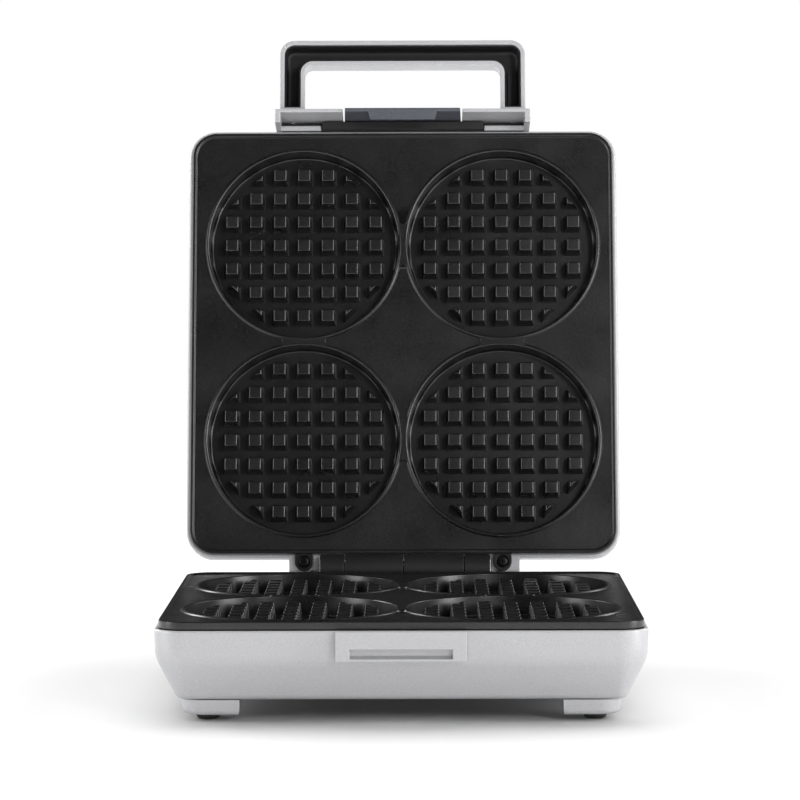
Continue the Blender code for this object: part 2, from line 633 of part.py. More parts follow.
def foot(tag, sign, reaches):
    """A painted block under one corner, round on its outer corner, with a rubber foot pushed into it."""
    inner, outer = FOOT_X
    front = tag.startswith("front")
    low, high = reaches
    r = FOOT_CORNER
    middle = high - r if front else low + r
    way = 1 if front else -1
    arc = [(outer - r + r * math.cos(a), middle + way * r * math.sin(a)) for a in quarter(5)]
    straight, far = (low, high) if front else (high, low)
    outline = [(inner, straight), (outer, straight), *arc, (inner, far)]
    outline = [(sign * x, reach) for x, reach in outline]
    block = prism(f"foot_block_{tag}", BASE, outline, (CASING_DEPTH + GAP, FOOT_DEPTH), "silver_paint")
    x, reach = sign * RUBBER_X, sum(reaches) / 2
    top = FOOT_DEPTH - RUBBER_STEM - 1.0
    cut(block, rod(f"foot_hole_{tag}", BASE, (x, reach, top), (x, reach, FOOT_DEPTH + 1), 2.8, sides=16))
    tip = HINGE_HEIGHT - FOOT_DEPTH
    profile = (
        (0, tip), (3.6, tip), (5.2, tip - 0.5), (RUBBER_RADIUS, tip - 1.3), (RUBBER_RADIUS, GAP),
        (2.4, GAP), (2.2, -RUBBER_STEM), (0, -RUBBER_STEM),
    )
    turned(f"rubber_foot_{tag}", BASE, profile, (x, reach, FOOT_DEPTH), (0, 0, 1), "rubber", steps=12)


def electrics(shell):
    """What the lower half holds besides its element: controls, terminals and the cord's inlet."""
    top = LIP_DEPTH + GAP
    profile = ((0, 0), (8.0, 0), (8.0, -4.0), (6.5, -4.6), (6.5, -THERMOSTAT_HEIGHT), (0, -THERMOSTAT_HEIGHT))
    start = (0, PLATE_MIDDLE, top + THERMOSTAT_HEIGHT)
    turned("thermostat", BASE, profile, start, (0, 0, 1), "ceramic", steps=16)
    ends = ((FUSE_X, PLATE_MIDDLE + reach, top + FUSE_RADIUS + 0.1) for reach in (-FUSE_HALF, FUSE_HALF))
    rod("thermal_fuse", BASE, *ends, FUSE_RADIUS, "steel", sides=12)
    depth = (TERMINAL_NEAR, CASING_DEPTH - WALL - GAP)
    block = box("terminal_block", BASE, TERMINAL_X, TERMINAL_REACH, depth, "ceramic")
    for i in range(3):
        x = TERMINAL_X[0] + 6 + 10 * i
        cut(block, rod(f"terminal_hole_{i}", BASE, (x, 20, 31), (x, 34, 31), 2.2, sides=10))
    bore, barrel, flange, collar = 3.3, 5.2, 7.0, 6.6
    ends = ((GLAND_X, reach, GLAND_DEPTH) for reach in (2, 14))
    cut(shell, rod("gland_hole", BASE, *ends, barrel + 0.4, sides=20))
    profile = (
        (bore, 2.2), (flange - 0.8, 2.2), (flange, 1.4), (flange, 0), (barrel, 0), (barrel, -5.3),
        (collar, -5.3), (collar, -7.0), (bore, -7.0),
    )
    start = (GLAND_X, LEAF_REACH[1], GLAND_DEPTH)
    turned("cord_gland", BASE, profile, start, (0, -1, 0), "rubber", steps=14, ring=True)


# Lid

def lid():
    shell = casing("lid_casing", LID, LID_LUG_TAIL)
    bracket = hinge_bracket("lid_hinge_bracket", LID, LID_KNUCKLES)
    hinge_screws("lid_hinge_screw", LID, shell, bracket, LID_LEAF_SCREWS)
    baking_plate("upper", LID)
    plate_fittings("upper", LID)
    lamps(shell)
    handle(shell)


def lamps(shell):
    """Two lenses pushed out through the lid's outer face from inside."""
    flange = CASING_DEPTH - WALL - GAP
    face = CASING_DEPTH - flange
    profile = (
        (0, face + 0.5), (LAMP_RADIUS - 1, face + 0.4), (LAMP_RADIUS, face - 0.2), (LAMP_RADIUS, 0),
        (LAMP_RIM, 0), (LAMP_RIM, -2.0), (0, -2.0),
    )
    for tag, x, material in (("power", -LAMP_X, "red_lens"), ("ready", LAMP_X, "green_lens")):
        ends = ((x, LAMP_REACH, depth) for depth in (30, 45))
        cut(shell, rod(f"lamp_hole_{tag}", LID, *ends, LAMP_RADIUS + GAP, sides=20))
        turned(f"lamp_lens_{tag}", LID, profile, (x, LAMP_REACH, flange), (0, 0, 1), material, steps=14)


def handle_outline(inset, foot_reach):
    """The U in x and reach: a round-cornered bar between two legs, drawn in by inset on every side."""
    outer, inner = HANDLE_HALF - inset, HANDLE_OPENING_HALF + inset
    tip, opening = HANDLE_TIP - inset, HANDLE_OPENING_TIP + inset
    r, s = HANDLE_CORNER - inset, HANDLE_OPENING_CORNER + inset
    right = [(outer, foot_reach), *corner_arc(outer - r, tip - r, r, 0, 5)]
    left = [(-x, reach) for x, reach in reversed(right)]
    inside = [(-inner, foot_reach)]
    inside += [(-inner + s - s * math.cos(a), opening - s + s * math.sin(a)) for a in quarter(5)]
    return right + left + inside + [(-x, reach) for x, reach in reversed(inside)]


def handle(shell):
    """The hood on the lid's front, the handle outside it, and the latch inside it."""
    foot_reach, channel_reach = HOOD_FRONT + GAP, HOOD_FRONT + CHANNEL_FOOT
    near, far = HANDLE_DEPTH
    frame = prism("handle_frame", LID, handle_outline(0, foot_reach), HANDLE_DEPTH, "silver_paint")
    channel = handle_outline(HANDLE_WALL, channel_reach)
    cut(frame, prism("handle_channel", LID, channel, (near - 1, far - HANDLE_WALL)))
    inset, liner_foot = HANDLE_WALL + GAP, channel_reach + GAP
    outside = handle_outline(inset, liner_foot)
    liner = prism("handle_liner", LID, outside, (near + LINER_DROP, far - inset), "black_plastic")
    inside = handle_outline(inset + LINER_WALL, liner_foot + LINER_WALL)
    cut(liner, prism("liner_hollow", LID, inside, (near - 1, far - inset - LINER_WALL)))
    hood = latch_hood()
    carrier = latch_carrier()
    depth = HANDLE_SCREW_DEPTH
    for tag, x in (("left", -HANDLE_SCREW_X), ("right", HANDLE_SCREW_X)):
        hole = rod(f"handle_hole_{tag}", LID, (x, 250, depth), (x, 271.6, depth), 2.0, sides=12)
        for piece in (shell, hood, carrier, frame):
            cut(piece, hole)
        start = (x, CASING_FRONT - WALL - 3 * GAP, depth)
        screw(f"handle_screw_{tag}", LID, start, (0, -1, 0), (3.2, 2.0), (1.6, 15.8))
    latch()


def latch_hood():
    """A silver hood, open towards the lid and downwards, with a cut-out in its front for the lever."""
    x = (-HOOD_HALF, HOOD_HALF)
    hood = box("latch_hood", LID, x, (HOOD_BACK, HOOD_FRONT), HOOD_DEPTH, "silver_paint")
    inner = HOOD_HALF - HOOD_SIDE
    hollow = (250, HOOD_FRONT - HOOD_WALL), (HOOD_DEPTH[0] - 15, HOOD_DEPTH[1] - HOOD_ROOF)
    cut(hood, box("hood_hollow", LID, (-inner, inner), *hollow))
    window = (TAB_REACH, HOOD_FRONT + 3), (HOOD_DEPTH[0] - 15, HOOD_CUT_TOP)
    cut(hood, box("hood_window", LID, (-HOOD_CUT_HALF, HOOD_CUT_HALF), *window))
    tab = (HOOD_BACK, TAB_REACH), (EDGE_DEPTH, TAB_DEPTH)
    join(hood, box("hood_tab_left", LID, (-inner - 1, -TAB_START), *tab))
    join(hood, box("hood_tab_right", LID, (TAB_START, inner + 1), *tab))
    return hood


def latch_carrier():
    """The black trough that holds the lever's pin, cut back on both sides where the hood's tabs are."""
    far = HOOD_DEPTH[1] - HOOD_ROOF - GAP
    reach = (HOOD_BACK + GAP, HOOD_FRONT - CARRIER_BACKSET)
    half = HOOD_HALF - HOOD_SIDE - GAP
    carrier = box("latch_carrier", LID, (-half, half), reach, (CARRIER_SIDE_NEAR, far), "black_plastic")
    middle = (-CARRIER_MIDDLE, CARRIER_MIDDLE)
    join(carrier, box("carrier_middle", LID, middle, reach, (CARRIER_NEAR, CARRIER_SIDE_NEAR + 1)))
    slot = LEVER_BARREL[1] + 0.6
    trough = (LATCH_REACH - LEVER_BARREL_RADIUS - GAP, HOOD_FRONT + 3), (CARRIER_NEAR + 0.8, LEVER_ROOT + 1.0)
    cut(carrier, box("carrier_slot", LID, (-slot, slot), *trough))
    end = LEVER_HALF_ROOT + LATCH_PIN_OVERHANG + 0.7
    pivot = (LATCH_REACH, LATCH_DEPTH)
    cut(carrier, rod("carrier_bore", LID, (-end, *pivot), (end, *pivot), LEVER_BORE, sides=16))
    return carrier


def latch():
    """The lever on its pin, and the torsion spring between the lever's two barrels."""
    pivot = (LATCH_REACH, LATCH_DEPTH)
    pin_end = LEVER_HALF_ROOT + LATCH_PIN_OVERHANG
    rod("latch_pin", LID, (-pin_end, *pivot), (pin_end, *pivot), LATCH_PIN_RADIUS, "steel", sides=16)
    outline = [
        (-LEVER_HALF_TIP, LEVER_TIP), (LEVER_HALF_TIP, LEVER_TIP), (LEVER_HALF_ROOT, LEVER_ROOT),
        (-LEVER_HALF_ROOT, LEVER_ROOT),
    ]
    inner_face, outer_face = HOOD_FRONT - HOOD_WALL, HOOD_FRONT + 0.1
    bm = bmesh.new()
    for reach in (inner_face, outer_face):
        for x, depth in outline:
            bm.verts.new(LATCH.at(x, reach, depth))
    bmesh.ops.convex_hull(bm, input=bm.verts)
    lever = place("latch_lever", finish_mesh("latch_lever", bm), LATCH, "latch_plastic")
    for tag, sign in (("left", -1), ("right", 1)):
        ends = ((sign * x, *pivot) for x in LEVER_BARREL)
        join(lever, rod(f"lever_barrel_{tag}", LATCH, *ends, LEVER_BARREL_RADIUS, sides=16))
    cut(lever, rod("lever_bore", LATCH, (-40, *pivot), (40, *pivot), LEVER_BORE, sides=16))
    top, tip, foot = TOOTH_DEPTH
    tooth = ((inner_face + 1, top), (TOOTH_TIP, top), (TOOTH_TIP, tip), (inner_face + 1, foot))
    join(lever, side_prism("lever_tooth", LATCH, tooth, (-TOOTH_HALF, TOOTH_HALF)))
    latch_spring()


def latch_spring():
    turns, steps = 4, 8
    curve = bpy.data.curves.new("latch_spring", "CURVE")
    curve.dimensions = "3D"
    curve.bevel_depth = SPRING_WIRE * MM
    curve.bevel_resolution = 1
    curve.use_fill_caps = True
    spline = curve.splines.new("POLY")
    count = turns * steps + 1
    spline.points.add(count - 1)
    for i, point in enumerate(spline.points):
        angle = 2 * math.pi * i / steps
        x = SPRING_HALF * (2 * i / (count - 1) - 1)
        reach = LATCH_REACH + SPRING_RADIUS * math.cos(angle)
        depth = LATCH_DEPTH + SPRING_RADIUS * math.sin(angle)
        point.co = (*LID.at(x, reach, depth), 1)
    curve.materials.append(MATERIALS["steel"])
    obj = bpy.data.objects.new("latch_spring", curve)
    obj.parent = LID.empty
    PARTS.objects.link(obj)


base()
lid()
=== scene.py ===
import json
import math
from collections import namedtuple

import bmesh
import bpy
from mathutils import Matrix, Vector


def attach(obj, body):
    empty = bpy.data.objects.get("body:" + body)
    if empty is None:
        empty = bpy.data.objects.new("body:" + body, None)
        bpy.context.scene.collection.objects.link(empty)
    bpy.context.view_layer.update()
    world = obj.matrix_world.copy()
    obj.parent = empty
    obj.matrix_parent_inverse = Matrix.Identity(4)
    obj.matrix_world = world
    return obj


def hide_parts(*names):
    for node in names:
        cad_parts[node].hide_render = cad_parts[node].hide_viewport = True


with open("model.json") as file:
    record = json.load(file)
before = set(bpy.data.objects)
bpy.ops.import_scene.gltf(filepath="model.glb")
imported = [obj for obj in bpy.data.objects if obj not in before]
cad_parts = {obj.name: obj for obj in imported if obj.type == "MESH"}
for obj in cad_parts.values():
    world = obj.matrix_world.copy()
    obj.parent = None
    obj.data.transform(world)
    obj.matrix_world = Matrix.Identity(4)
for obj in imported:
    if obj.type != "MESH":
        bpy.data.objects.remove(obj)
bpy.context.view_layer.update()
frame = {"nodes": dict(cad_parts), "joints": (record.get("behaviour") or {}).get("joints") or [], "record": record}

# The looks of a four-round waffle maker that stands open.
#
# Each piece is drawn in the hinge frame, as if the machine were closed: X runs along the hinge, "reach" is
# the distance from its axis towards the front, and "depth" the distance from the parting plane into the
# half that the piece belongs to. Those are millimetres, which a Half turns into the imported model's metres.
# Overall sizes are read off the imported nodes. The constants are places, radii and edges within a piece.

MM = 0.001
JOINTS = {joint["name"]: joint for joint in frame["joints"]}
HINGE = Vector(JOINTS["lid_hinge"]["pos_m"])
OPEN_ANGLE = math.radians(JOINTS["lid_hinge"]["range_deg"][1])
CORNERS = ("front_left", "front_right", "rear_left", "rear_right")
Extent = namedtuple("Extent", "x reach depth")


class Half:
    """The base or the lid: which way depth runs in it, where it stands and which body it is."""

    def __init__(self, body, side, turn):
        self.body = body
        self.side = side
        self.matrix = Matrix.Translation(HINGE) @ Matrix.Rotation(turn, 4, "X")

    def at(self, x, reach, depth):
        return Vector((x, -reach, self.side * depth)) * MM

    def extent(self, node):
        """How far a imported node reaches, as three (low, high) pairs in this half's own terms."""
        back = self.matrix.inverted()
        points = [back @ vertex.co / MM for vertex in frame["nodes"][node].data.vertices]
        spans = ([p.x for p in points], [-p.y for p in points], [self.side * p.z for p in points])
        return Extent(*((min(values), max(values)) for values in spans))


BASE = Half("base", -1, 0.0)
LID = Half("lid", 1, -OPEN_ANGLE)

# Plates
PLATE = BASE.extent("lower_plate")
PLATE_REAR, PLATE_CORNER = 9.3, 14.0
PLATE_MIDDLE = (PLATE_REAR + PLATE.reach[1]) / 2
RIM_DEPTH, LAND_DEPTH, SLAB_DEPTH, LIP_DEPTH = 0.2, 1.2, 4.3, 6.0
BEAD_WIDTH = 2.2
WELL_OFFSET = 57.3
WELL_RIM, WELL_MOUTH, WELL_FLOOR = 56.7, 55.0, 54.0
WELL_DEPTH, WELL_BACK_DEPTH = 11.2, 14.5
WELL_STEPS = 120
BRIDGE_LENGTH, BRIDGE_HALF = 28.0, 2.4
STUD_PITCH, STUD_TOP, STUD_FOOT = 13.87, 7.1, 9.6
STUD_TOP_DEPTH, STUD_ROOT, STUD_EDGE = 2.0, 0.8, 0.75
PART_STUD_LEG = 3.8
FULL_STUDS = {0: 3, 1: 3, 2: 2, 3: 1}  # by row from the middle: the furthest whole column
PART_STUDS = {2: 3, 3: 2}  # by row from the middle: the column of the cut-off stud
EAR_X, EAR_RADIUS, EAR_REACH = 56.6, 5.35, 4.85
EAR_DEPTH = (1.2, 4.0)
CROSS_WIDE, CROSS_LONG = 0.34, 1.9  # half sizes of the arms of a screw's recess

# Casings
CASING_HALF = BASE.extent("base_casing").x[1]
CASING_REACH = (7.1, BASE.extent("base_casing").reach[1])
CASING_DEPTH = (4.6, BASE.extent("base_casing").depth[1])
CASING_CORNER = 16.0
CASING_WALL = 2.5
CASING_OUTSIDE = ((4.6, 0.0), (19.3, 0.6), (CASING_DEPTH[1], 11.75), (CASING_DEPTH[1], 18.0))
CASING_ROUNDS = (20.0, 5.0)  # of the shoulder and of the bottom edge
LUGS = ((-65.3, -47.8), (49.9, 66.6))
LUG_FAR = 12.0
NOTCH_RADIUS = 9.0
KNUCKLE_RADIUS, PIN_BORE, HINGE_SCREW_DEPTH = 8.5, 3.1, 13.0
BASE_KNUCKLES, LID_KNUCKLES = ((-47.3, -33.35), (0.25, 34.55)), ((-33.05, -0.05), (34.85, 49.4))
BASE_LUG_TAIL, LID_LUG_TAIL = 13.0, 1.5  # how far behind the hinge axis the lugs end
VENT_HALF, VENT_FIRST, VENT_PITCH, VENT_COUNT, VENT_REACH = 1.4, 24, 6.5, 7, (118, 148)
CASE_SCREW_X, CASE_SCREW_REACH = 62, (60, 205)
GLAND_RADIUS, GLAND_X, GLAND_DEPTH, GLAND_SPAN = 5.6, 90.0, 13.5, (2, 14)
GROOVE_INSET, GROOVE_WIDTH = 27.0, 1.6
LAMP_X, LAMP_REACH, LAMP_HOLE = 11, 232.0, 4.5

# Handle and latch
HANDLE = LID.extent("handle_frame")
HANDLE_OPENING_HALF, HANDLE_OPENING_TIP = 57.0, 297.5
HANDLE_CORNER, HANDLE_OPENING_CORNER = 8.5, 4.5
HANDLE_WALL = 2.6
HOOD = LID.extent("latch_hood")
HOOD_SIDE, HOOD_WALL = 3.1, 2.1
HOOD_WINDOW_HALF, HOOD_WINDOW_TOP = 34.7, 18.3
LATCH_REACH, LATCH_DEPTH = 262.7, 14.5
CATCH = BASE.extent("latch_catch")
POCKET_HALF, POCKET_BACK = 25.7, 259.5
POCKET_NEAR, POCKET_FAR, POCKET_LIP = 13.3, 17.0, 18.4
CARRIER_HALF, CARRIER_SIDE_NEAR, CARRIER_SLOT_HALF = 47.0, 7.0, 33.6
LEVER_HALF_TIP, LEVER_HALF_ROOT, LEVER_BACK = 33.4, 34.2, 264.9
TOOTH_HALF_NEAR, TOOTH_HALF_FAR = 20.4, 18.6
BARRELS = ((-33.0, -7.5), (7.5, 33.0))
BARREL_RADIUS, PIN_RADIUS = 2.4, 1.4
TAB_INNER = 47.5


# Materials

def material(name, colour, roughness, metallic=0.0, specular=0.5):
    """A Principled shader with its even values set, and its tree for what varies."""
    made = bpy.data.materials.new(name)
    made.use_nodes = True
    shader = made.node_tree.nodes["Principled BSDF"]
    shader.inputs["Base Color"].default_value = (*colour, 1.0)
    shader.inputs["Roughness"].default_value = roughness
    shader.inputs["Metallic"].default_value = metallic
    shader.inputs["Specular IOR Level"].default_value = specular
    return made


def noise(made, scale, detail=2.0, stretch=(1, 1, 1)):
    """A noise texture over the piece's own coordinates, its scale in features a metre."""
    tree = made.node_tree
    place = tree.nodes.new("ShaderNodeTexCoord")
    mapping = tree.nodes.new("ShaderNodeMapping")
    mapping.inputs["Scale"].default_value = stretch
    texture = tree.nodes.new("ShaderNodeTexNoise")
    texture.inputs["Scale"].default_value = scale
    texture.inputs["Detail"].default_value = detail
    tree.links.new(place.outputs["Object"], mapping.inputs["Vector"])
    tree.links.new(mapping.outputs["Vector"], texture.inputs["Vector"])
    return texture.outputs["Fac"]


def ramp(made, source, low, high):
    """Stretch a factor between two (place, colour) stops."""
    node = made.node_tree.nodes.new("ShaderNodeValToRGB")
    for stop, (place, colour) in zip(node.color_ramp.elements, (low, high)):
        stop.position = place
        stop.color = (*colour, 1.0)
    made.node_tree.links.new(source, node.inputs["Fac"])
    return node.outputs["Color"]


def span(made, source, low, high):
    """Map a noise factor, which stays near a half, to a range of values."""
    node = made.node_tree.nodes.new("ShaderNodeMapRange")
    node.inputs["From Min"].default_value = 0.3
    node.inputs["From Max"].default_value = 0.7
    node.inputs["To Min"].default_value = low
    node.inputs["To Max"].default_value = high
    made.node_tree.links.new(source, node.inputs["Value"])
    return node.outputs["Result"]


def drive(made, socket, output):
    shader = made.node_tree.nodes["Principled BSDF"]
    made.node_tree.links.new(output, shader.inputs[socket])


def bumps(made, *layers):
    """Add up bump layers, each (height source, strength, height of a full step in mm)."""
    tree = made.node_tree
    normal = None
    for height, strength, step in layers:
        bump = tree.nodes.new("ShaderNodeBump")
        bump.inputs["Strength"].default_value = strength
        bump.inputs["Distance"].default_value = step * MM
        tree.links.new(height, bump.inputs["Height"])
        if normal:
            tree.links.new(normal, bump.inputs["Normal"])
        normal = bump.outputs["Normal"]
    tree.links.new(normal, tree.nodes["Principled BSDF"].inputs["Normal"])


def silver_paint():
    """Satin silver lacquer: fine metal flakes, a slight orange peel and a thin clear coat."""
    made = material("silver_paint", (0.43, 0.43, 0.44), 0.42, 0.20)
    flakes = noise(made, 3200, 1.0)
    cloud = noise(made, 18, 2.0)
    drive(made, "Base Color", ramp(made, flakes, (0.30, (0.37, 0.37, 0.38)), (0.72, (0.51, 0.51, 0.525))))
    drive(made, "Roughness", span(made, cloud, 0.36, 0.44))
    bumps(made, (noise(made, 420, 1.0), 0.10, 0.05), (flakes, 0.12, 0.02))
    made.node_tree.nodes["Principled BSDF"].inputs["Coat Weight"].default_value = 0.15
    made.node_tree.nodes["Principled BSDF"].inputs["Coat Roughness"].default_value = 0.25
    return made


def non_stick():
    """Sprayed black coating with a fine grain that sparkles a little."""
    made = material("non_stick", (0.008, 0.008, 0.0082), 0.31, 0.0, 0.7)
    grain = noise(made, 1300, 2.0)
    cloud = noise(made, 35, 3.0)
    dark, light = (0.36, (0.001, 0.001, 0.001)), (0.74, (0.015, 0.015, 0.0152))
    drive(made, "Base Color", ramp(made, grain, dark, light))
    drive(made, "Roughness", span(made, cloud, 0.26, 0.36))
    bumps(made, (noise(made, 900, 2.0), 0.35, 0.06), (grain, 0.35, 0.05))
    return made


def moulded(name, colour, roughness, grain=1500):
    """Moulded plastic with a fine spark-eroded texture."""
    made = material(name, colour, roughness)
    texture = noise(made, grain, 3.0)
    low, high = ([value * share for value in colour] for share in (0.75, 1.25))
    drive(made, "Base Color", ramp(made, texture, (0.35, low), (0.70, high)))
    drive(made, "Roughness", span(made, noise(made, 60, 2.0), roughness - 0.05, roughness + 0.06))
    bumps(made, (texture, 0.30, 0.03))
    return made


def brushed(name, colour, roughness, stretch, metallic=1.0):
    """Rolled or drawn metal, its grain longest where stretch is smallest."""
    made = material(name, colour, roughness, metallic)
    grain = noise(made, 1400, 3.0, stretch)
    low, high = ([value * share for value in colour] for share in (0.88, 1.10))
    drive(made, "Base Color", ramp(made, grain, (0.35, low), (0.68, high)))
    drive(made, "Roughness", span(made, grain, roughness - 0.06, roughness + 0.08))
    bumps(made, (grain, 0.20, 0.02))
    return made


def element_steel():
    """Steel tube that heat has darkened, straw and blue in patches."""
    made = brushed("element_steel", (0.22, 0.21, 0.20), 0.45, (1, 1, 1))
    patches = noise(made, 45, 3.0)
    drive(made, "Base Color", ramp(made, patches, (0.38, (0.13, 0.12, 0.13)), (0.66, (0.30, 0.25, 0.19))))
    return made


def ceramic():
    made = material("ceramic", (0.80, 0.78, 0.72), 0.55)
    pores = noise(made, 700, 4.0)
    drive(made, "Base Color", ramp(made, pores, (0.30, (0.70, 0.67, 0.60)), (0.60, (0.82, 0.80, 0.74))))
    bumps(made, (pores, 0.25, 0.05))
    return made


def lens(name, colour):
    """Translucent plastic with faint moulded ripples."""
    made = material(name, colour, 0.12)
    ripples = noise(made, 260, 1.0)
    low, high = ([value * share for value in colour] for share in (0.82, 1.10))
    drive(made, "Base Color", ramp(made, ripples, (0.35, low), (0.65, high)))
    bumps(made, (ripples, 0.10, 0.05))
    made.node_tree.nodes["Principled BSDF"].inputs["Transmission Weight"].default_value = 0.35
    return made


MATERIALS = {
    "silver_paint": silver_paint(),
    "non_stick": non_stick(),
    "black_plastic": moulded("black_plastic", (0.007, 0.007, 0.0075), 0.52),
    "latch_plastic": moulded("latch_plastic", (0.070, 0.076, 0.090), 0.45),
    "rubber": moulded("rubber", (0.016, 0.016, 0.016), 0.78, 1100),
    "steel": brushed("steel", (0.55, 0.55, 0.56), 0.32, (1, 0.06, 1)),
    "black_steel": brushed("black_steel", (0.018, 0.018, 0.019), 0.36, (1, 1, 1), 0.8),
    "element_steel": element_steel(),
    "ceramic": ceramic(),
    "red_lens": lens("red_lens", (0.60, 0.03, 0.02)),
    "green_lens": lens("green_lens", (0.05, 0.45, 0.08)),
}


# Outlines: lists of points in millimetres

def arc(middle_x, middle_y, radius, start, turn, steps):
    for i in range(steps + 1):
        angle = math.radians(start + turn * i / steps)
        yield middle_x + radius * math.cos(angle), middle_y + radius * math.sin(angle)


def filleted(corners, radii, steps=6):
    """A bent line with its inner corners rounded."""
    points = [corners[0]]
    for before, corner, after, radius in zip(corners, corners[1:], corners[2:], radii):
        corner = Vector(corner)
        a, b = (Vector(before) - corner).normalized(), (Vector(after) - corner).normalized()
        half = a.angle(b) / 2
        middle = corner + (a + b).normalized() * radius / math.sin(half)
        start, end = ((corner + way * radius / math.tan(half) - middle).normalized() for way in (a, b))
        for i in range(steps + 1):
            points.append(tuple(middle + start.slerp(end, i / steps) * radius))
    return points + [corners[-1]]


def rounded_rectangle(half, rear, front, radius, inset=0.0, steps=14):
    r = max(radius - inset, 0.8)
    x, low, high = half - inset - r, rear + inset + r, front - inset - r
    points = []
    for middle_x, middle_y, start in ((x, high, 0), (-x, high, 90), (-x, low, 180), (x, low, 270)):
        points += arc(middle_x, middle_y, r, start, 90, steps)
    return points


# Meshes, in a half's own coordinates

def loft(half, rings, closed=False):
    """Skin equal rings of (x, reach, depth) points, and cap both ends unless it closes on itself."""
    bm = bmesh.new()
    loops = [[bm.verts.new(half.at(*point)) for point in ring] for ring in rings]
    pairs = list(zip(loops, loops[1:]))
    if closed:
        pairs.append((loops[-1], loops[0]))
    else:
        bm.faces.new(loops[0])
        bm.faces.new(loops[-1])
    for near, far in pairs:
        for i in range(len(near)):
            bm.faces.new((near[i - 1], near[i], far[i], far[i - 1]))
    return finished(bm)


def finished(bm):
    bmesh.ops.recalc_face_normals(bm, faces=bm.faces)
    mesh = bpy.data.meshes.new("piece")
    bm.to_mesh(mesh)
    bm.free()
    return mesh


def stack(half, outline, profile):
    """Loft a flat outline(inset) through (depth, inset) pairs."""
    return loft(half, [[(x, reach, depth) for x, reach in outline(inset)] for depth, inset in profile])


def turned(half, profile, place, steps=48, closed=False):
    """Turn (radius, height) pairs; place turns (across, up, height) into (x, reach, depth)."""
    rings = []
    for radius, height in profile:
        angles = (math.tau * i / steps for i in range(steps))
        rings.append([place(radius * math.cos(a), radius * math.sin(a), height) for a in angles])
    return loft(half, rings, closed)


def along_depth(x, reach):
    return lambda across, up, height: (x + across, reach + up, height)


def along_x(reach, depth):
    return lambda across, up, height: (height, reach + across, depth + up)


def along_reach(x, depth):
    return lambda across, up, height: (x + across, height, depth + up)


def rod(half, radius, span_, place, edge=0.0, steps=48):
    """A round bar between two heights, its ends' edges rounded."""
    low, high = span_
    profile = [(radius, low), (radius, high)]
    if edge:
        near, far = low + edge, high - edge
        profile = [(radius - edge, low), (radius - 0.3 * edge, low + 0.3 * edge), (radius, near)]
        profile += [(radius, far), (radius - 0.3 * edge, high - 0.3 * edge), (radius - edge, high)]
    return turned(half, profile, place, steps)


def box(half, x, reach, depth, edge=0.0, segments=3):
    """A block with every edge rounded."""
    points = [half.at(a, b, c) for a in x for b in reach for c in depth]
    return hull(points, edge, segments)


def hull(points, edge=0.0, segments=3):
    bm = bmesh.new()
    for point in points:
        bm.verts.new(point)
    bmesh.ops.convex_hull(bm, input=bm.verts)
    bmesh.ops.dissolve_limit(bm, angle_limit=math.radians(1), verts=bm.verts, edges=bm.edges)
    if edge:
        bmesh.ops.bevel(
            bm, geom=bm.edges[:], offset=edge * MM, segments=segments, profile=0.5, affect="EDGES",
            clamp_overlap=True,
        )
    return finished(bm)


def evaluated(obj):
    graph = bpy.context.evaluated_depsgraph_get()
    return bpy.data.meshes.new_from_object(obj.evaluated_get(graph))


def temporary(mesh):
    obj = bpy.data.objects.new("temporary", mesh)
    bpy.context.scene.collection.objects.link(obj)
    return obj


def boolean(operation, mesh, *others):
    """Combine meshes of one half, in order, and give the result."""
    made = [temporary(mesh)]
    for other in others:
        made.append(temporary(other))
        modifier = made[0].modifiers.new("combine", "BOOLEAN")
        modifier.operation = operation
        modifier.object = made[-1]
    result = evaluated(made[0])
    for obj in made:
        bpy.data.objects.remove(obj)
    return result


def union(mesh, *others):
    return boolean("UNION", mesh, *others)


def minus(mesh, *others):
    return boolean("DIFFERENCE", mesh, *others)


def bevelled(mesh, width, segments=3, angle=40):
    obj = temporary(mesh)
    modifier = obj.modifiers.new("edges", "BEVEL")
    modifier.width = width * MM
    modifier.segments = segments
    modifier.limit_method = "ANGLE"
    modifier.angle_limit = math.radians(angle)
    result = evaluated(obj)
    bpy.data.objects.remove(obj)
    return result


def piece(name, mesh, half, slot, nodes, body=None, matrix=None, sharp=34):
    """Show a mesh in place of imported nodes, on its body and in its finish."""
    mesh.name = name
    mesh.transform(matrix or half.matrix)
    mesh.materials.clear()
    mesh.materials.append(MATERIALS[slot])
    mesh.shade_smooth()
    mesh.set_sharp_from_angle(angle=math.radians(sharp))
    obj = bpy.data.objects.new(name, mesh)
    bpy.context.scene.collection.objects.link(obj)
    weighted = obj.modifiers.new("even normals", "WEIGHTED_NORMAL")
    weighted.keep_sharp = True
    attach(obj, body or half.body)
    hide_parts(*nodes)
    return obj


# Baking plates

def stud(half, top, foot):
    """One stud between its outlines at the top and in the floor, with soft edges."""
    depths = (STUD_TOP_DEPTH, WELL_DEPTH + STUD_ROOT)
    points = [half.at(x, reach, depth) for line, depth in zip((top, foot), depths) for x, reach in line]
    return hull(points, STUD_EDGE, 3)


def square(side):
    h = side / 2
    return [(-h, -h), (h, -h), (h, h), (-h, h)]


def corner_triangle(sign_x, sign_y, corner, leg):
    """Of a stud that the well's wall cuts off, the corner nearest the well's middle."""
    x, y = -sign_x * corner, -sign_y * corner
    return [(x, y), (x + sign_x * leg, y), (x, y + sign_y * leg)]


